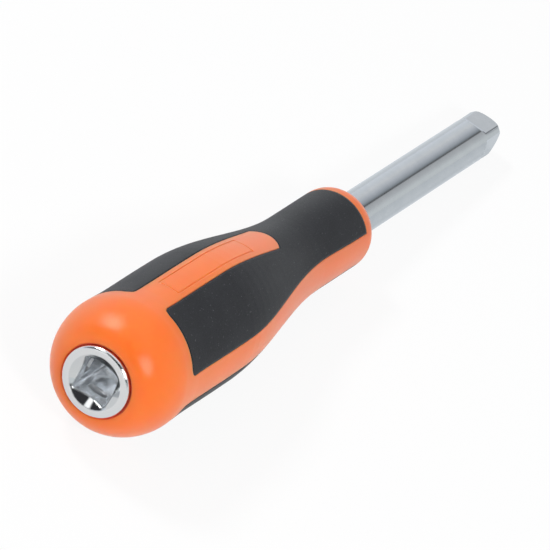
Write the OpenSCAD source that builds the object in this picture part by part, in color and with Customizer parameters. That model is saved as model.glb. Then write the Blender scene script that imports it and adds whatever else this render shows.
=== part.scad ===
// Square drive spinner handle: a steel drive bar moulded into a two-colour handle.
// The bar has a female square in the butt and a male square with a ball detent at the tip.
// Millimetres. The origin is the middle of the butt face, +X runs to the tip and +Z is up.

/* [Drive bar] */
// Length of the bar from the butt face to the tip
bar_length = 138.3; // [120:0.1:200]
// Diameter of the bare round shaft
shaft_d = 7.9; // [7.6:0.05:8]
// Diameter of the shank inside the handle
shank_d = 8.5; // [8.4:0.1:9]
// Diameter of the head that holds the female square
head_d = 12.1; // [11.5:0.1:13]
// Length of the head before it tapers to the shaft
head_length = 15; // [13:0.5:20]
// Radius of the rounded outer edge of the head
head_edge = 0.6; // [0.3:0.05:0.8]
// Distance across the two locking flats inside the handle
key_af = 6.6; // [6:0.1:7.2]
// Distance of the locking flats from the butt face
key_x = 28.8; // [24:0.2:34]
// Length of the locking flats
key_length = 24; // [10:1:30]
// Distance of the locking groove from the end of the nose
lock_from_nose = 0.8; // [0.6:0.1:1.6]
// Width of the locking groove inside the nose
lock_w = 1; // [0.6:0.1:1.4]
// Depth of the locking groove
lock_depth = 0.5; // [0.3:0.05:0.7]
// Length of the shank's cone that shows ahead of the nose
cone_show = 0.1; // [0.05:0.05:0.3]

/* [Male square] */
// Across flats of the male square
male_af = 6.3; // [6.26:0.01:6.35]
// Length of the flats, tip included
male_length = 6.1; // [5.8:0.1:7.5]
// Diameter over the turned corners of the male square, where the tip begins
corner_d = 8.12; // [8.04:0.02:8.4]
// Length behind the flats from which the shaft swells to the corners
corner_run = 1.4; // [1.2:0.1:2]
// Slope of the ramp behind each flat, measured from the axis
ramp_angle = 36; // [30:1:60]
// Length of the domed tip
tip_length = 1.6; // [1.2:0.1:2]
// Diameter of the small flat on the end of the tip
tip_flat_d = 4; // [3:0.1:5]

/* [Female square] */
// Across flats of the female square
female_af = 6.45; // [6.41:0.01:6.6]
// Depth of the female square
female_depth = 9; // [7.5:0.1:10]
// Radius of the rounded corners of the female square
female_round = 0.6; // [0.3:0.05:0.7]
// Diameter of the drilled pilot hole
pilot_d = 5.9; // [5.4:0.1:6.2]
// Diameter of the countersink at the mouth
mouth_d = 9.5; // [9.2:0.1:10.2]
// Slope of the countersink, measured from the butt face
sink_angle = 35; // [20:1:45]
// Distance of the detent groove from the butt face
groove_x = 3.7; // [3.2:0.1:4.6]
// Width of the detent groove at its bottom
groove_w = 0.9; // [0.6:0.1:1.4]
// Depth of the detent groove below the flats
groove_depth = 0.45; // [0.2:0.05:0.6]

/* [Ball detent] */
// Diameter of the detent ball
ball_d = 2.4; // [2:0.1:2.6]
// Height of the ball above the flat
ball_proud = 0.55; // [0.3:0.05:0.6]
// Distance of the ball from the end of the tip
ball_from_tip = 3.4; // [3.3:0.1:3.8]
// Radial running clearance of the ball in its hole
ball_clearance = 0.03; // [0.01:0.01:0.08]
// Thickness of the staked lip that keeps the ball in
lip_thickness = 0.25; // [0.15:0.05:0.3]
// Wire diameter of the detent spring
wire_d = 0.24; // [0.2:0.02:0.26]
// Mean diameter of the detent spring's coils
coil_d = 1.58; // [1.5:0.02:1.6]
// Number of coils of the detent spring
spring_turns = 4; // [3:0.5:4]
// Steel left below the spring's hole
hole_floor = 1; // [0.8:0.1:1.4]

/* [Handle] */
// Distance of the handle's rear face ahead of the butt face
handle_rear = 0.7; // [0.6:0.1:1.4]
// Length of the handle
handle_length = 82.9; // [76:0.1:100]
// Distance of the bulb's crest from the rear face
bulb_length = 8.4; // [7:0.1:12]
// Diameter over the bulb
bulb_d = 23.2; // [21:0.1:27]
// Distance from the bulb's crest to the bottom of the shallow dip
dip_run = 5.5; // [4:0.1:8]
// Diameter of the shallow dip ahead of the bulb
dip_d = 22.9; // [20.5:0.02:26.5]
// Distance from the dip to the start of the grip's swell
swell_run = 10.5; // [8:0.1:14]
// Length of the even swell
swell_length = 5.3; // [3:0.1:8]
// Diameter of the grip's swell
swell_d = 23.06; // [20.5:0.02:26.5]
// Length of the taper from the swell to the waist
taper_length = 35.5; // [30:0.5:38]
// Diameter of the waist
waist_d = 14.5; // [14:0.1:16]
// Diameter of the nose
nose_d = 14.6; // [14.2:0.1:17]
// Radius of the rounded nose
nose_round = 3.5; // [2.5:0.1:4.4]
// Fullness of the bulb's dome
dome_power = 1.83; // [1.6:0.01:2.4]
// Turn of the grip pattern about the axis, from the squares
grip_turn = -7.5; // [-45:0.5:45]

/* [Grip panels] */
// Thickness of the soft panels
panel_thickness = 1.4; // [1:0.1:1.6]
// Distance of the panels' rear edge ahead of the bulb's crest
panel_start = 1.93; // [0.5:0.01:4]
// Distance of the panels' front edge behind the rounded nose
panel_stop = 0.8; // [0.6:0.1:3]
// Width of the open line around each panel
panel_gap = 0.1; // [0.06:0.01:0.2]
// Width of the side strips along the grip
strip_w = 5.65; // [4:0.05:8]
// Distance from the start of the taper to the widest place of the side strips
strip_wide_run = 20.9; // [15:0.1:26]
// Width of the side strips where they are widest
strip_wide_w = 7; // [5:0.05:10]
// Width of the side strips at the nose
strip_nose_w = 6; // [4:0.05:8]
// Length of the tongue from the panels' rear edge
tongue_length = 41.8; // [34:0.1:46]
// Width of the tongue along the grip
tongue_w = 5.8; // [4:0.05:8]
// Width of the tongue at its end
tongue_end_w = 5.9; // [4:0.05:6.5]
// Radius of the arc at the tongue's end
tongue_end_r = 3.6; // [3.3:0.1:6]
// Radius where a strip or tongue runs into the bulb
root_r = 1.2; // [0.6:0.1:2]

/* [Label frame] */
// Distance of the engraved frame from the panels' rear edge
frame_start = 6.5; // [3:0.1:10]
// Length of the engraved frame
frame_length = 25.6; // [18:0.1:30]
// Width of the fine line engraved around the plain field on the upper tongue
frame_line = 0.24; // [0.2:0.02:0.5]
// Depth of the engraved line
frame_depth = 0.1; // [0.08:0.02:0.3]
// Width of the engraved frame
frame_w = 4; // [3:0.1:5]

/* [Fits] */
// Clearance of the moulded handle on the bar and of the panels on the handle
mould_gap = 0.03; // [0.02:0.01:0.06]
// Radial width of the open ring around the head
head_ring = 0.2; // [0.15:0.05:0.5]
// Depth of the open ring around the head
head_ring_depth = 0.35; // [0.35:0.05:1.2]
// Radius of the handle's rounded lip at that ring
lip_round = 0.25; // [0.15:0.05:0.3]

/* [Output] */
// Node to draw

/* [Hidden] */
chrome = [0.75, 0.76, 0.78];
steel = [0.6, 0.61, 0.63];
orange = [0.96, 0.42, 0.12];
charcoal = [0.17, 0.17, 0.18];

shaft_r = shaft_d / 2;
shank_r = shank_d / 2;
corner_r = corner_d / 2;
head_r = head_d / 2;
flat_x = bar_length - male_length;
past = 1;
reach = 2 * head_d;
round_fn = 96;
small_fn = 32;

// Stations along the handle, from the butt face
nose_end = handle_rear + handle_length;
crest_x = handle_rear + bulb_length;
dip_x = crest_x + dip_run;
swell_x = dip_x + swell_run;
taper_x = swell_x + swell_length;
waist_x = taper_x + taper_length;
nose_x = nose_end - nose_round;
panel_rear = crest_x + panel_start;
panel_front = nose_x - panel_stop;
tongue_end = panel_rear + tongue_length;
strip_wide_x = taper_x + strip_wide_run;
frame_rear = panel_rear + frame_start;
lock_end = nose_end - lock_from_nose;
mouth_r = head_r + head_ring;
dome_r = mouth_r + lip_round;
skin_step = handle_length / 36;
floor_step = handle_length / 14;

// Places of the ball, its hole and its spring, as heights over the bar's axis
ball_r = ball_d / 2;
ball_x = bar_length - ball_from_tip;
ball_y = male_af / 2 + ball_proud - ball_r;
hole_r = ball_r + ball_clearance;
hole_end = hole_floor - male_af / 2;
coil_r = coil_d / 2;
spring_low = hole_end + wire_d / 2 + mould_gap;
spring_high = ball_y - sqrt(pow(ball_r + wire_d / 2 + mould_gap, 2) - coil_r * coil_r);
spring_pitch = (spring_high - spring_low) / spring_turns;
echo(spring_self_gap = spring_pitch - wire_d);

function clamp01(t) = min(1, max(0, t));
function s_curve(t) = clamp01(t) * clamp01(t) * (3 - 2 * clamp01(t));
function blend(x, xa, xb, a, b) = a + (b - a) * s_curve((x - xa) / (xb - xa));

// Radius of the handle at a station ahead of the bulb's crest
function grip_r(x) =
    x < dip_x ? blend(x, crest_x, dip_x, bulb_d, dip_d) / 2 :
    x < taper_x ? blend(x, dip_x, swell_x, dip_d, swell_d) / 2 :
    x < waist_x ? blend(x, taper_x, waist_x, swell_d, waist_d) / 2 :
    blend(x, waist_x, nose_x, waist_d, nose_d) / 2;

// Radius of the bulb's dome, flat at the rear face and level at the crest
function dome_at(x) =
    dome_r + (bulb_d / 2 - dome_r)
    * pow(1 - pow((crest_x - x) / (crest_x - handle_rear), dome_power), 1 / dome_power);

function stations(from, to, step) =
    let (n = ceil((to - from) / step))
    [for (i = [0:n]) from + (to - from) * i / n];

dome_points = [for (a = [0:3:90]) let (x = crest_x - (crest_x - handle_rear) * cos(a)) [dome_at(x), x]];
grip_points = [for (x = stations(crest_x, nose_x, skin_step)) if (x > crest_x) [grip_r(x), x]];
nose_points = [for (a = [7.5:7.5:82.5]) [nose_d / 2 - nose_round * (1 - cos(a)), nose_x + nose_round * sin(a)]];

// Extra half width that rounds a strip or tongue into the bulb
function root_flare(x) =
    let (d = max(0, x - panel_rear))
    d >= root_r ? 0 : root_r - sqrt(root_r * root_r - pow(root_r - d, 2));
function strip_half(x) =
    (x < strip_wide_x ? blend(x, taper_x, strip_wide_x, strip_w, strip_wide_w)
    : blend(x, strip_wide_x, panel_front, strip_wide_w, strip_nose_w)) / 2 + root_flare(x);
function tongue_half(x) = blend(x, taper_x, tongue_end, tongue_w, tongue_end_w) / 2 + root_flare(x);

pattern_x = concat(
    [panel_rear - past],
    [for (i = [0:4]) panel_rear + root_r * i / 4],
    stations(panel_rear + 2 * root_r, panel_front, 2 * skin_step),
    [panel_front + past]);
arc_sag = tongue_end_r - sqrt(pow(tongue_end_r, 2) - pow(tongue_end_w / 2, 2));
arc_half_angle = asin(tongue_end_w / 2 / tongue_end_r);

module along_x() {
    rotate([0, 90, 0]) children();
}

// Mirrors an outline given by its upper edge
module both_sides(upper) {
    polygon(concat(upper, [for (i = [len(upper) - 1:-1:0]) [upper[i][0], -upper[i][1]]]));
}

// The bar as turned: head, shank, locking groove, cone, shaft and domed tip, grown by a clearance
module turned_bar(gap) {
    lock_r = shaft_r - lock_depth;
    edge = [for (a = [0:7.5:90]) [head_r - head_edge + (head_edge + gap) * sin(a),
                                 head_edge - (head_edge + gap) * cos(a)]];
    shank = [[head_r + gap, head_length],
             [shank_r + gap, head_length + head_r - shank_r],
             [shank_r + gap, lock_end - lock_w + gap]];
    shaft = [[lock_r + gap, lock_end - lock_w + gap],
             [lock_r + gap, lock_end - gap],
             [shank_r + gap, lock_end - gap],
             [shaft_r + gap, nose_end + cone_show],
             [shaft_r + gap, flat_x - corner_run]];
    dome = [for (a = [0:15:90]) [tip_flat_d / 2 + (corner_r + gap - tip_flat_d / 2) * cos(a),
                                 bar_length - tip_length + tip_length * sin(a)]];
    along_x() rotate_extrude($fn = round_fn)
        polygon(concat([[0, -gap]], edge, shank, shaft, dome, [[0, bar_length]]));
}

// The two flats that lock the bar in the handle
module key_flats(gap) {
    for (side = [-1, 1])
        translate([key_x + gap, -reach / 2, side > 0 ? key_af / 2 + gap : -reach - key_af / 2 - gap])
            cube([key_length - 2 * gap, reach, reach]);
}

// The square hole with rounded corners, over a turned pilot hole, countersink and groove
module female_square() {
    half = female_af / 2;
    round_at = (half - female_round) * sqrt(2);
    sink_r = mouth_d / 2;
    pilot_r = pilot_d / 2;
    groove_r = half + groove_depth;
    groove_half = groove_w / 2;
    pilot_end = female_depth + past;
    translate([-past, 0, 0]) along_x() linear_extrude(female_depth + past)
        polygon([for (q = [0:90:270]) for (a = [0:22.5:90])
            [round_at * cos(q + 45) + female_round * cos(q + a),
             round_at * sin(q + 45) + female_round * sin(q + a)]]);
    along_x() rotate_extrude($fn = round_fn)
        polygon([[0, -past * tan(sink_angle)],
                 [sink_r + past, -past * tan(sink_angle)],
                 [pilot_r, (sink_r - pilot_r) * tan(sink_angle)],
                 [pilot_r, groove_x - groove_half - groove_r + pilot_r],
                 [groove_r, groove_x - groove_half],
                 [groove_r, groove_x + groove_half],
                 [pilot_r, groove_x + groove_half + groove_r - pilot_r],
                 [pilot_r, pilot_end],
                 [pilot_r / 3, pilot_end + pilot_r / 2],
                 [0, pilot_end + pilot_r / 2]]);
}

// One flat of the male square with the ramp behind it
module male_flat() {
    top = corner_d;
    rotate([90, 0, 0]) translate([0, 0, -corner_d]) linear_extrude(2 * corner_d)
        polygon([[flat_x, male_af / 2],
                 [bar_length + past, male_af / 2],
                 [bar_length + past, top],
                 [flat_x - (top - male_af / 2) / tan(ramp_angle), top]]);
}

// Blind hole for the ball and spring, closed in by a staked lip
module ball_hole() {
    flat_y = male_af / 2;
    lip_r = sqrt(ball_r * ball_r - pow(flat_y - ball_y, 2)) + ball_clearance;
    lip_slope = (hole_r - lip_r) / lip_thickness;
    above = lip_thickness;
    translate([ball_x, 0, 0]) rotate([-90, 0, 0]) rotate_extrude($fn = small_fn)
        polygon([[0, hole_end],
                 [hole_r, hole_end],
                 [hole_r, flat_y - lip_thickness],
                 [lip_r - lip_slope * above, flat_y + above],
                 [0, flat_y + above]]);
}

module drive_bar() {
    color(chrome) difference() {
        turned_bar(0);
        key_flats(0);
        female_square();
        for (a = [0:90:270]) rotate([a, 0, 0]) male_flat();
        ball_hole();
    }
}

module detent_ball() {
    color(steel) translate([ball_x, ball_y, 0]) rotate_extrude($fn = small_fn)
        polygon([for (a = [-90:10:90]) [ball_r * cos(a), ball_r * sin(a)]]);
}

// The spring as one tube of six-sided rings along a helix
module detent_spring() {
    sides = 6;
    per_turn = 8;
    rings = spring_turns * per_turn;
    function wire_point(i, j) =
        let (a = 360 * i / per_turn, b = 360 * j / sides, r = coil_r + wire_d / 2 * cos(b))
        [r * cos(a), spring_low + spring_pitch * i / per_turn + wire_d / 2 * sin(b), r * sin(a)];
    points = [for (i = [0:rings]) for (j = [0:sides - 1]) wire_point(i, j)];
    walls = [for (i = [0:rings - 1]) for (j = [0:sides - 1])
        let (k = (j + 1) % sides)
        [i * sides + j, i * sides + k, (i + 1) * sides + k, (i + 1) * sides + j]];
    start = [for (j = [sides - 1:-1:0]) j];
    end = [for (j = [0:sides - 1]) rings * sides + j];
    color(steel) translate([ball_x, 0, 0]) polyhedron(points, concat(walls, [start, end]), convexity = 6);
}

// Handle skin moved inwards by a depth, between two stations
module skin(depth, from, to, step) {
    edge = [for (x = stations(from, to, step)) [grip_r(x) - depth, x]];
    along_x() rotate_extrude($fn = round_fn)
        polygon(concat([[0, from]], edge, [[0, to]]));
}

// The whole handle as turned, with the open ring and rounded lip at its rear
module handle_form() {
    ring_floor = handle_rear + head_ring_depth;
    lip = [for (a = [0:15:75]) [dome_r - lip_round * cos(a), handle_rear + lip_round * (1 - sin(a))]];
    along_x() rotate_extrude($fn = round_fn)
        polygon(concat([[0, ring_floor], [mouth_r, ring_floor]], lip, dome_points, grip_points, nose_points,
            [[nose_d / 2 - nose_round, nose_end], [0, nose_end]]));
}

// Hard plastic left between the panels: two side strips and two tongues, grown by a gap
module strips(gap) {
    rotate([90, 0, 0]) translate([0, 0, -reach]) linear_extrude(2 * reach)
        both_sides([for (x = pattern_x) [x, strip_half(x) + gap]]);
    arc_x = tongue_end - tongue_end_r;
    translate([0, 0, -reach]) linear_extrude(2 * reach)
        both_sides(concat(
            [for (x = pattern_x) if (x < tongue_end - arc_sag - skin_step / 2) [x, tongue_half(x) + gap]],
            [for (i = [0:5]) let (a = arc_half_angle * (1 - i / 5))
                [arc_x + (tongue_end_r + gap) * cos(a), (tongue_end_r + gap) * sin(a)]]));
}

// Space of both soft panels, shrunk by a gap at the edges and by a clearance underneath
module panel_space(gap, under, out) {
    difference() {
        skin(-out, panel_rear + gap, panel_front - gap, skin_step);
        skin(panel_thickness - under, panel_rear - past, panel_front + past, floor_step);
        strips(gap);
    }
}

// Fine engraved frame around the plain field of the upper tongue
module label_frame() {
    difference() {
        translate([frame_rear, -frame_w / 2, 0]) cube([frame_length, frame_w, reach]);
        translate([frame_rear + frame_line, frame_line - frame_w / 2, -past])
            cube([frame_length - 2 * frame_line, frame_w - 2 * frame_line, reach + 2 * past]);
        skin(frame_depth, frame_rear - past, frame_rear + frame_length + past, skin_step);
    }
}

module handle_body() {
    color(orange) difference() {
        handle_form();
        difference() {
            turned_bar(mould_gap);
            key_flats(mould_gap);
        }
        rotate([grip_turn, 0, 0]) {
            panel_space(0, -mould_gap, past);
            label_frame();
        }
    }
}

module grip_upper() {
    color(charcoal) rotate([grip_turn, 0, 0]) intersection() {
        panel_space(panel_gap, 0, 0);
        translate([0, -reach, 0]) cube([nose_end, 2 * reach, reach]);
    }
}

module grip_lower() {
    color(charcoal) rotate([grip_turn, 0, 0]) intersection() {
        panel_space(panel_gap, 0, 0);
        translate([0, -reach, -reach]) cube([nose_end, 2 * reach, reach]);
    }
}

drive_bar();
detent_ball();
detent_spring();
handle_body();
grip_upper();
grip_lower();
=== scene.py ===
"""Looks of a square drive spinner handle: chromed bar, orange moulding and dark soft panels."""

import math

import bmesh
import bpy
from mathutils import Matrix, Quaternion, Vector


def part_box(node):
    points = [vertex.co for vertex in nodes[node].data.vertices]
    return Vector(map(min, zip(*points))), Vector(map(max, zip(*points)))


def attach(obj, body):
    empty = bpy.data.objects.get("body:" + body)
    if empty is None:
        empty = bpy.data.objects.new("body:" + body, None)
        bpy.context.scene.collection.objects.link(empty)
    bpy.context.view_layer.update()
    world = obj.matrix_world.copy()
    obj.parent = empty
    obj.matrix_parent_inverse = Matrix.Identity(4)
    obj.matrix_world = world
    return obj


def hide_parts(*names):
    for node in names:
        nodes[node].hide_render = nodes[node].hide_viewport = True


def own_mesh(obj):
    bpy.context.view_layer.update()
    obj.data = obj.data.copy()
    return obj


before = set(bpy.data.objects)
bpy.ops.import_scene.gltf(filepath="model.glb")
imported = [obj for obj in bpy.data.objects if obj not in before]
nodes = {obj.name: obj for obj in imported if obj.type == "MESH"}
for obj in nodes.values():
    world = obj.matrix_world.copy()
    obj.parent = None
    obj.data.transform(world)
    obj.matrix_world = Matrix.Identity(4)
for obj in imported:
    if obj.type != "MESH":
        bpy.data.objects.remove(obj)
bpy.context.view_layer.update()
scene = bpy.context.scene

# Sizes are in millimetres, and MM takes them to metres
MM = 0.001
# Square hole in the butt: half its width across flats, and a place behind its floor
HOLE_HALF = 3.225
HOLE_END = 12.0
# Countersink at the hole's mouth: radius, depth for each millimetre of radius, and fade of its painted
# shade
SINK_R = 4.75
SINK_SLOPE = 0.70
SINK_FADE = 0.18
# How far past the countersink the hole's satin and painted brightening start, and past its flats the ring
# groove's
HOLE_START = 0.06
GROOVE_START = (0.01, 0.05)
# Stretch in which the painted brighter reflection on the butt's plate fades out along the bar
BUTT_FADE = (1.5, 4.0)
# Male square: where its flats start, and the radius of the shaft that they are cut into
FLAT_X = 132.2
SHAFT_R = 3.95
# Painted lines on the flats, a pale highlight and a dark reflection: where the pale and the dark one fade
# past the start, how far inside the shaft's radius the dark one begins and is full, and where across the
# bar it is cut off, full and gone
PALE_LINE = (0.4, 0.7)
DARK_LINE = (0.35, 0.5)
DARK_RIM = (0.19, 0.09)
DARK_CUT, DARK_FULL, DARK_GONE = -2.6, -1.7, -1.3
# Moulding: its rear face, the lip round the bar's head, and the stretch in which a painted sheen and
# shade make it paler
REAR_X = 0.7
LIP_R = 6.5
PAINTED_SHEEN_AND_SHADE = (26, 56)
# Detent spring: radius of its wire and number of turns, with the fineness of the drawn coil
WIRE_R = 0.12 * MM
SPRING_TURNS = 4
RINGS_PER_TURN = 32
WIRE_SIDES = 10


# Materials

class Graph:
    """Short calls that add nodes to a node tree and wire them."""

    def __init__(self, tree):
        self.tree = tree

    def node(self, kind, **values):
        """A new node; values are its settings or its inputs, with _ for a space."""
        made = self.tree.nodes.new(kind)
        for key, value in values.items():
            if hasattr(made, key):
                setattr(made, key, value)
            else:
                made.inputs[key.replace("_", " ")].default_value = value
        return made

    def link(self, source, target):
        self.tree.links.new(source, target)

    def math(self, operation, *terms):
        """One step of arithmetic; a term is a number or another node's output."""
        step = self.node("ShaderNodeMath", operation=operation)
        for term, place in zip(terms, step.inputs):
            if isinstance(term, (int, float)):
                place.default_value = term
            else:
                self.link(term, place)
        return step.outputs[0]

    def both(self, first, *others):
        """The product of masks, which is 1 only where each of them is."""
        for mask in others:
            first = self.math("MULTIPLY", first, mask)
        return first

    def span(self, fac, low, high, at=(0.3, 0.7)):
        """fac taken from the range at to the range low to high."""
        spread = self.node("ShaderNodeMapRange")
        self.link(fac, spread.inputs["Value"])
        for key, value in zip(("From Min", "From Max", "To Min", "To Max"), (*at, low, high)):
            spread.inputs[key].default_value = value
        return spread.outputs["Result"]

    def ramp(self, fac, stops):
        """Colours along fac, as (place, colour) stops."""
        ramp = self.node("ShaderNodeValToRGB")
        first, last = ramp.color_ramp.elements[0], ramp.color_ramp.elements[1]
        first.position, first.color = stops[0][0], (*stops[0][1], 1)
        last.position, last.color = stops[-1][0], (*stops[-1][1], 1)
        for at, colour in stops[1:-1]:
            ramp.color_ramp.elements.new(at).color = (*colour, 1)
        self.link(fac, ramp.inputs["Fac"])
        return ramp.outputs["Color"]

    def blend(self, fac, first, second):
        """A colour between two, each a plain colour or another node's output."""
        mix = self.node("ShaderNodeMix", data_type="RGBA")
        self.link(fac, mix.inputs[0])
        for colour, place in ((first, mix.inputs[6]), (second, mix.inputs[7])):
            if isinstance(colour, tuple):
                place.default_value = (*colour, 1)
            else:
                self.link(colour, place)
        return mix.outputs[2]

    def choose(self, fac, first, second):
        """A node that goes from one shader node to another as fac goes from 0 to 1."""
        mix = self.node("ShaderNodeMixShader")
        self.link(fac, mix.inputs["Fac"])
        self.link(first.outputs[0], mix.inputs[1])
        self.link(second.outputs[0], mix.inputs[2])
        return mix


class Shader(Graph):
    """A new material with a Principled shader."""

    def __init__(self, name):
        self.material = bpy.data.materials.new(name)
        self.material.use_nodes = True
        super().__init__(self.material.node_tree)
        self.out = self.tree.nodes["Principled BSDF"]
        self.place = self.node("ShaderNodeTexCoord").outputs["Object"]

    def set(self, **values):
        """Plain values of the shader's inputs."""
        for key, value in values.items():
            self.out.inputs[key.replace("_", " ")].default_value = value

    def wire(self, **sources):
        """Outputs that drive the shader's inputs."""
        for key, source in sources.items():
            self.link(source, self.out.inputs[key.replace("_", " ")])

    def noise(self, per_mm, detail=2.0, rough=0.5, stretch=(1, 1, 1)):
        """Noise with about per_mm bumps in each millimetre, drawn out by stretch."""
        scale = self.node("ShaderNodeMapping")
        scale.inputs["Scale"].default_value = [per_mm / MM / s for s in stretch]
        self.link(self.place, scale.inputs["Vector"])
        noise = self.node("ShaderNodeTexNoise", Scale=1.0, Detail=detail, Roughness=rough)
        self.link(scale.outputs["Vector"], noise.inputs["Vector"])
        return noise.outputs["Fac"]

    def bar_place(self):
        """Place along the bar, distance from its axis and both places across it, in mm."""
        parts = self.node("ShaderNodeSeparateXYZ")
        self.link(self.place, parts.inputs[0])
        along, y, z = (self.math("MULTIPLY", out, 1 / MM) for out in parts.outputs)
        off_axis = self.math("SQRT", self.math("ADD", self.math("POWER", y, 2), self.math("POWER", z, 2)))
        return along, off_axis, y, z

    def bumps(self, *layers, edge=0.0):
        """Height layers as (fac, distance in mm, strength) over a rounding of sharp edges, in mm."""
        normal = None
        if edge:
            normal = self.node("ShaderNodeBevel", samples=6, Radius=edge * MM).outputs["Normal"]
        for fac, distance, strength in layers:
            bump = self.node("ShaderNodeBump", Strength=strength, Distance=distance * MM)
            self.link(fac, bump.inputs["Height"])
            if normal:
                self.link(normal, bump.inputs["Normal"])
            normal = bump.outputs["Normal"]
        self.wire(Normal=normal)


def orange_plastic():
    """Satin moulding: a fine spark texture, faint flow clouds and softly rounded edges."""
    s = Shader("orange_plastic")
    clouds = s.noise(0.12, detail=3)
    spark = s.noise(9, detail=2)
    along, off_axis, _, _ = s.bar_place()
    colour = s.ramp(clouds, [(0.3, (0.92, 0.176, 0.014)), (0.5, (0.95, 0.187, 0.016)),
                             (0.72, (0.97, 0.198, 0.019))])
    # Painted sheen and shade: towards the nose the moulding is a little paler and less red, as its
    # grazing sheen and weaker light make it look
    colour = s.blend(s.span(along, 0, 1, at=PAINTED_SHEEN_AND_SHADE), colour, (0.87, 0.184, 0.036))
    # The narrow gap round the bar's head is painted a deeper red, the look of its shade lit by light that
    # has gone through the plastic
    fade = 0.15
    gap = s.both(s.span(off_axis, 1, 0, at=(LIP_R - fade, LIP_R + fade)),
                 s.span(along, 0, 1, at=(REAR_X, REAR_X + fade)))
    colour = s.blend(gap, colour, (0.97, 0.055, 0.007))
    s.wire(Base_Color=colour, Roughness=s.span(spark, 0.35, 0.43))
    s.set(IOR=1.48, Sheen_Weight=0.16, Sheen_Roughness=0.50, Subsurface_Weight=0.8,
          Subsurface_Radius=(0.9, 0.30, 0.10), Subsurface_Scale=0.0018)
    s.bumps((clouds, 0.05, 0.25), (spark, 0.012, 0.35), edge=0.18)
    return s.material


def soft_grip():
    """Matt soft plastic: close pebble texture, pale dust and a weak sheen."""
    s = Shader("soft_grip")
    pebble = s.noise(5, detail=3, rough=0.6)
    clouds = s.noise(0.25, detail=3)
    dust = s.noise(2.6, detail=1)
    body = s.ramp(clouds, [(0.3, (0.0045, 0.0048, 0.0066)), (0.7, (0.0076, 0.0080, 0.0103))])
    colour = s.blend(s.span(dust, 0.0, 0.40, at=(0.68, 0.79)), body, (0.13, 0.13, 0.14))
    s.wire(Base_Color=colour, Roughness=s.span(pebble, 0.62, 0.78))
    s.set(IOR=1.40, Sheen_Weight=0.15, Sheen_Roughness=0.40)
    s.bumps((clouds, 0.04, 0.2), (pebble, 0.03, 0.45), edge=0.6)
    return s.material


def painted_flat_lines(s, plate, along, off_axis, y):
    """The plate with two painted lines on the flats of the male square: a pale highlight at the start and
    a dark reflection at the corner.
    """
    on_flat = s.both(s.span(along, 0, 1, at=(FLAT_X - 0.1, FLAT_X)),
                     s.math("LESS_THAN", off_axis, SHAFT_R - 0.005))
    start = s.both(on_flat, s.span(along, 1, 0, at=[FLAT_X + past for past in PALE_LINE]))
    plate = s.blend(start, plate, (0.58, 0.60, 0.64))
    # The painted dark reflection follows the near long side of a flat and turns into its start
    rim = s.math("MAXIMUM", s.span(off_axis, 0, 1, at=[SHAFT_R - inside for inside in DARK_RIM]),
                 s.span(along, 1, 0, at=[FLAT_X + past for past in DARK_LINE]))
    corner = s.both(s.span(y, 1, 0, at=(DARK_FULL, DARK_GONE)), s.math("GREATER_THAN", y, DARK_CUT))
    return s.blend(s.both(rim, corner, on_flat), plate, (0.16, 0.165, 0.17))


def chrome_plate():
    """Polished plate with fine turning lines, light haze, painted reflections and shade; the square
    hole's walls are satin and painted brighter.
    """
    s = Shader("chrome_plate")
    lines = s.noise(11, detail=1, stretch=(1, 60, 60))
    haze = s.noise(0.35, detail=4, rough=0.6)
    along, off_axis, y, z = s.bar_place()
    plate = s.ramp(haze, [(0.35, (0.49, 0.505, 0.515)), (0.7, (0.53, 0.54, 0.548))])
    polish = s.span(haze, 0.06, 0.11)
    # Painted reflection: the butt is brighter, with a countersink that painted shade makes a shade darker
    # than the ring round it
    butt = s.span(along, 1, 0, at=BUTT_FADE)
    plate = s.blend(butt, plate, (0.66, 0.67, 0.675))
    sink_shade = s.both(butt, s.span(off_axis, 1, 0, at=(SINK_R - SINK_FADE, SINK_R)))
    plate = s.blend(sink_shade, plate, (0.565, 0.58, 0.585))
    plate = painted_flat_lines(s, plate, along, off_axis, y)
    # The hole is what lies deeper than the countersink, its satin walls painted much brighter than the
    # plate; the ring groove in its flats is dull and dark
    sink = s.math("MULTIPLY", s.math("SUBTRACT", SINK_R, off_axis), SINK_SLOPE)
    hole = s.both(s.math("GREATER_THAN", along, s.math("ADD", sink, HOLE_START)),
                  s.math("LESS_THAN", along, HOLE_END), s.math("LESS_THAN", off_axis, SINK_R))
    across = s.math("MAXIMUM", s.math("ABSOLUTE", y), s.math("ABSOLUTE", z))
    groove = s.both(hole, s.span(across, 0, 1, at=[HOLE_HALF + past for past in GROOVE_START]))
    walls = s.blend(groove, (0.91, 0.93, 0.95), (0.53, 0.545, 0.555))
    dull = s.math("ADD", s.math("MULTIPLY", hole, 0.12), s.math("MULTIPLY", groove, 0.28))
    s.wire(Base_Color=s.blend(hole, plate, walls), Roughness=s.math("ADD", polish, dull))
    s.set(Metallic=1.0)
    s.bumps((haze, 0.02, 0.05), (lines, 0.004, 0.08), edge=0.42)
    return s.material


def bearing_steel():
    """Bright ground steel of the ball and its spring."""
    s = Shader("bearing_steel")
    haze = s.noise(1.5, detail=3)
    s.wire(Base_Color=s.ramp(haze, [(0.3, (0.52, 0.53, 0.55)), (0.7, (0.60, 0.61, 0.62))]),
           Roughness=s.span(haze, 0.12, 0.22))
    s.set(Metallic=1.0)
    s.bumps((haze, 0.01, 0.08))
    return s.material


chrome, steel, orange, grip = chrome_plate(), bearing_steel(), orange_plastic(), soft_grip()
for name, material in (
    ("drive_bar", chrome),
    ("detent_ball", steel),
    ("detent_spring", steel),
    ("handle_body", orange),
    ("grip_upper", grip),
    ("grip_lower", grip),
):
    for slot in nodes[name].material_slots:
        slot.material = material


# The detent spring shortens as the ball goes in, so a finer coil of the same size stands for it

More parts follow.
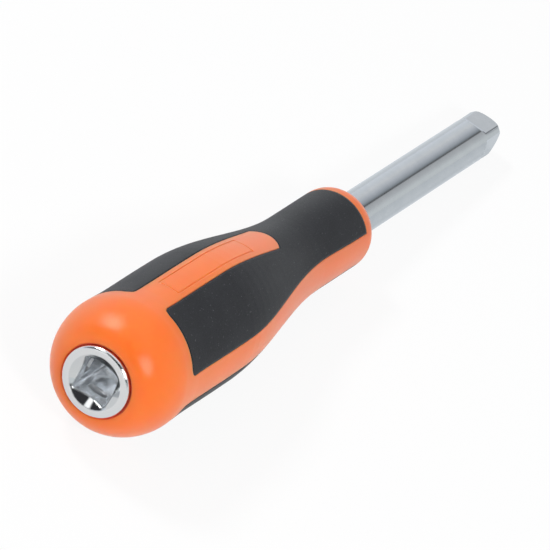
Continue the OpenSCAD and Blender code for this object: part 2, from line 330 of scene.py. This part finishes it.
def coil_of_wire(name, middle_x, low, high, coil_r):
    """A closed coil of round wire that climbs along Y, between low and high at the wire's middle."""
    rings = SPRING_TURNS * RINGS_PER_TURN
    shape = bmesh.new()
    loops = []
    for i in range(rings + 1):
        round_y = 2 * math.pi * i / RINGS_PER_TURN
        height = low + (high - low) * i / rings
        loop = []
        for j in range(WIRE_SIDES):
            round_wire = 2 * math.pi * j / WIRE_SIDES
            r = coil_r + WIRE_R * math.cos(round_wire)
            y = height + WIRE_R * math.sin(round_wire)
            loop.append(shape.verts.new((middle_x + r * math.cos(round_y), y, r * math.sin(round_y))))
        loops.append(loop)
    for first, second in zip(loops, loops[1:]):
        for j in range(WIRE_SIDES):
            k = (j + 1) % WIRE_SIDES
            shape.faces.new((first[j], first[k], second[k], second[j])).smooth = True
    shape.faces.new(loops[0])
    shape.faces.new(loops[-1])
    bmesh.ops.recalc_face_normals(shape, faces=shape.faces)
    mesh = bpy.data.meshes.new(name)
    shape.to_mesh(mesh)
    shape.free()
    return mesh


spring_min, spring_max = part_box("detent_spring")
spring_low, spring_high = spring_min[1] + WIRE_R, spring_max[1] - WIRE_R
coil_r = (spring_max[2] - spring_min[2]) / 2 - WIRE_R
coil_x = (spring_min[0] + spring_max[0]) / 2
coil_mesh = coil_of_wire("spring_coil", coil_x, spring_low, spring_high, coil_r)
coil_mesh.materials.append(steel)
coil = bpy.data.objects.new("spring_coil", coil_mesh)
scene.collection.objects.link(coil)
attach(coil, "tool")
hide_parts("detent_spring")
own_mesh(coil)


# Camera, as fitted to the photograph: the point that it looks at, and from where, with angles in degrees

AIM = Vector((60.019, -0.753, -1.433)) * MM
DISTANCE = 910 * MM
AZIMUTH = -163.708
ELEVATION = 30.462
ROLL = 26.970

camera_data = bpy.data.cameras.new("camera")
camera_data.sensor_width = 36.0
camera_data.lens = 360.0
camera_data.clip_start = 0.05
camera_data.clip_end = 20.0
camera = bpy.data.objects.new("camera", camera_data)
azimuth, elevation = math.radians(AZIMUTH), math.radians(ELEVATION)
back = Vector((math.cos(elevation) * math.cos(azimuth), math.cos(elevation) * math.sin(azimuth),
               math.sin(elevation)))
turn = back.to_track_quat("Z", "Y") @ Quaternion((0, 0, 1), math.radians(ROLL))
camera.matrix_world = Matrix.Translation(AIM + back * DISTANCE) @ turn.to_matrix().to_4x4()
scene.collection.objects.link(camera)
scene.camera = camera


# Floor: it rises to the tip, so that the tool lies on its swell and its tip

SWELL = Vector((28.3, 0, -11.55)) * MM
TIP = Vector((137.7, 0, -3.2)) * MM
FLOOR_GAP = 0.05 * MM
# How much of the floor is plain white to the camera and to metal, and not lit by the lamps
SEEN_WHITE = 0.90
MIRRORED_WHITE = 0.75

slope = math.atan2(TIP.z - SWELL.z, TIP.x - SWELL.x)
bpy.ops.mesh.primitive_plane_add(size=6.0)
floor = bpy.context.object
floor.name = "floor"
floor.rotation_euler = (0, -slope, 0)
floor.location = SWELL - Vector((0, 0, FLOOR_GAP))

floor_material = bpy.data.materials.new("floor")
floor_material.use_nodes = True
g = Graph(floor_material.node_tree)
g.tree.nodes.clear()
path = g.node("ShaderNodeLightPath")
in_metal = path.outputs["Is Glossy Ray"]
# In metal the floor shows a little darker and bluer beside the shaft than behind the butt
spot = g.node("ShaderNodeSeparateXYZ")
g.link(g.node("ShaderNodeTexCoord").outputs["Object"], spot.inputs[0])
beside = g.span(spot.outputs[0], 0, 1, at=(-0.06, 0.02))
white = g.node("ShaderNodeEmission")
g.link(g.blend(g.both(in_metal, beside), (1.0, 1.0, 1.0), (0.82, 0.885, 0.945)), white.inputs["Color"])
share = g.math("MAXIMUM", g.math("MULTIPLY", path.outputs["Is Camera Ray"], SEEN_WHITE),
               g.math("MULTIPLY", in_metal, MIRRORED_WHITE))
surface = g.choose(share, g.node("ShaderNodeBsdfDiffuse", Color=(0.86, 0.86, 0.86, 1)), white)
g.link(surface.outputs[0], g.node("ShaderNodeOutputMaterial").inputs["Surface"])
floor.data.materials.append(floor_material)


# Lamps: soft boxes above, in front and at the side; glossy surfaces see the studio's spots in their place

MIDDLE = Vector((45, 0, 0)) * MM


def soft_box(name, direction, distance, size, power):
    """A square area light that faces the tool from a direction and doesn't show in glossy surfaces."""
    data = bpy.data.lights.new(name, "AREA")
    data.shape = "SQUARE"
    data.size = size
    data.energy = power
    lamp = bpy.data.objects.new(name, data)
    lamp.location = MIDDLE + direction.normalized() * distance
    lamp.rotation_euler = direction.to_track_quat("Z", "Y").to_euler()
    lamp.visible_glossy = False
    scene.collection.objects.link(lamp)


soft_box("above", Vector((-0.08, 0.62, 0.70)), distance=0.7, size=0.13, power=2.4)
soft_box("front", Vector((-0.60, -0.64, 0.56)), distance=0.8, size=0.13, power=3.35)
soft_box("side", Vector((0.55, -0.70, 0.45)), distance=0.9, size=0.5, power=0.30)


# Studio: what glossy surfaces see all round, and a plain pale light for the rest

# Directions from the tool to what stands out in the studio
PALE_WALL = (-0.866, 0.320, 0.383)
WINDOW = (-0.65, 0.44, 0.61)
LOW_STRIP = (-0.98, 0.10, 0.0)
BOX_ABOVE = (-0.15, 0.63, 0.762)
BOX_FRONT = (-0.53, -0.64, 0.556)

world = bpy.data.worlds.new("studio")
scene.world = world
world.use_nodes = True
g = Graph(world.node_tree)
g.tree.nodes.clear()
ray = g.node("ShaderNodeTexCoord").outputs["Generated"]
way = g.node("ShaderNodeSeparateXYZ")
g.link(ray, way.inputs[0])
along, _, up = way.outputs


def round_spot(direction, at):
    """1 in a round spot of the studio, with a soft edge between two cosines from its middle."""
    near = g.node("ShaderNodeVectorMath", operation="DOT_PRODUCT")
    g.link(ray, near.inputs[0])
    near.inputs[1].default_value = direction
    return g.span(near.outputs["Value"], 0, 1, at=at)


# The gradient turns round the bar's axis, so that the dark flag between the lights runs along the bar
round_axis = g.node("ShaderNodeMapping", Rotation=(0, math.radians(-90), 0))
g.link(ray, round_axis.inputs["Vector"])
bands = g.node("ShaderNodeTexGradient", gradient_type="RADIAL")
g.link(round_axis.outputs["Vector"], bands.inputs["Vector"])
wall = g.ramp(bands.outputs["Fac"], [
    (0.000, (0.59, 0.63, 0.69)),
    (0.015, (0.52, 0.56, 0.61)),
    (0.037, (0.37, 0.41, 0.45)),
    (0.055, (0.18, 0.185, 0.195)),
    (0.064, (0.09, 0.09, 0.095)),
    (0.071, (0.60, 0.625, 0.65)),
    (0.126, (0.71, 0.74, 0.77)),
    (0.182, (0.88, 0.93, 0.955)),
    (0.500, (0.90, 0.92, 0.94)),
    (0.700, (0.97, 1.03, 1.13)),
    (0.849, (0.93, 0.98, 1.04)),
    (0.904, (0.94, 0.97, 1.00)),
    (0.960, (0.77, 0.81, 0.87)),
    (1.000, (0.59, 0.63, 0.69)),
])
# The unlit half of the room, which surfaces that face the butt end see between floor and ceiling
unlit = g.both(g.span(along, 1, 0, at=(-0.35, -0.10)), g.span(up, 0, 1, at=(0.10, 0.20)),
               g.span(up, 1, 0, at=(0.80, 0.92)))
wall = g.blend(unlit, wall, (0.05, 0.05, 0.055))
# In it a pale wall, which narrows the dark on the shaft when it is seen from its tip, and a window
wall = g.blend(round_spot(PALE_WALL, at=(0.972, 0.993)), wall, (0.70, 0.72, 0.74))
wall = g.blend(round_spot(WINDOW, at=(0.978, 0.986)), wall, (1.9, 1.9, 1.9))
# Under it a bright strip, and over it the ceiling
low = g.both(round_spot(LOW_STRIP, at=(0.88, 0.92)), g.span(up, 1, 0, at=(0.06, 0.10)))
wall = g.blend(low, wall, (1.7, 1.7, 1.7))
ceiling = g.both(g.span(up, 0, 1, at=(0.86, 0.93)), g.span(along, 1, 0, at=(0.40, 0.50)))
wall = g.blend(ceiling, wall, (1.1, 1.12, 1.15))
# The soft boxes above and in front
wall = g.blend(round_spot(BOX_ABOVE, at=(0.972, 0.995)), wall, (19.5, 19.5, 19.5))
wall = g.blend(round_spot(BOX_FRONT, at=(0.974, 0.995)), wall, (19.0, 19.0, 19.0))
studio = g.node("ShaderNodeBackground")
g.link(wall, studio.inputs["Color"])
plain = g.node("ShaderNodeBackground", Color=(0.95, 0.97, 1.0, 1), Strength=0.40)
backdrop = g.node("ShaderNodeBackground", Color=(1, 1, 1, 1))
path = g.node("ShaderNodeLightPath")
light = g.choose(path.outputs["Is Glossy Ray"], plain, studio)
seen = g.choose(path.outputs["Is Camera Ray"], light, backdrop)
g.link(seen.outputs[0], g.node("ShaderNodeOutputWorld").inputs["Surface"])

scene.view_settings.view_transform = "Standard"
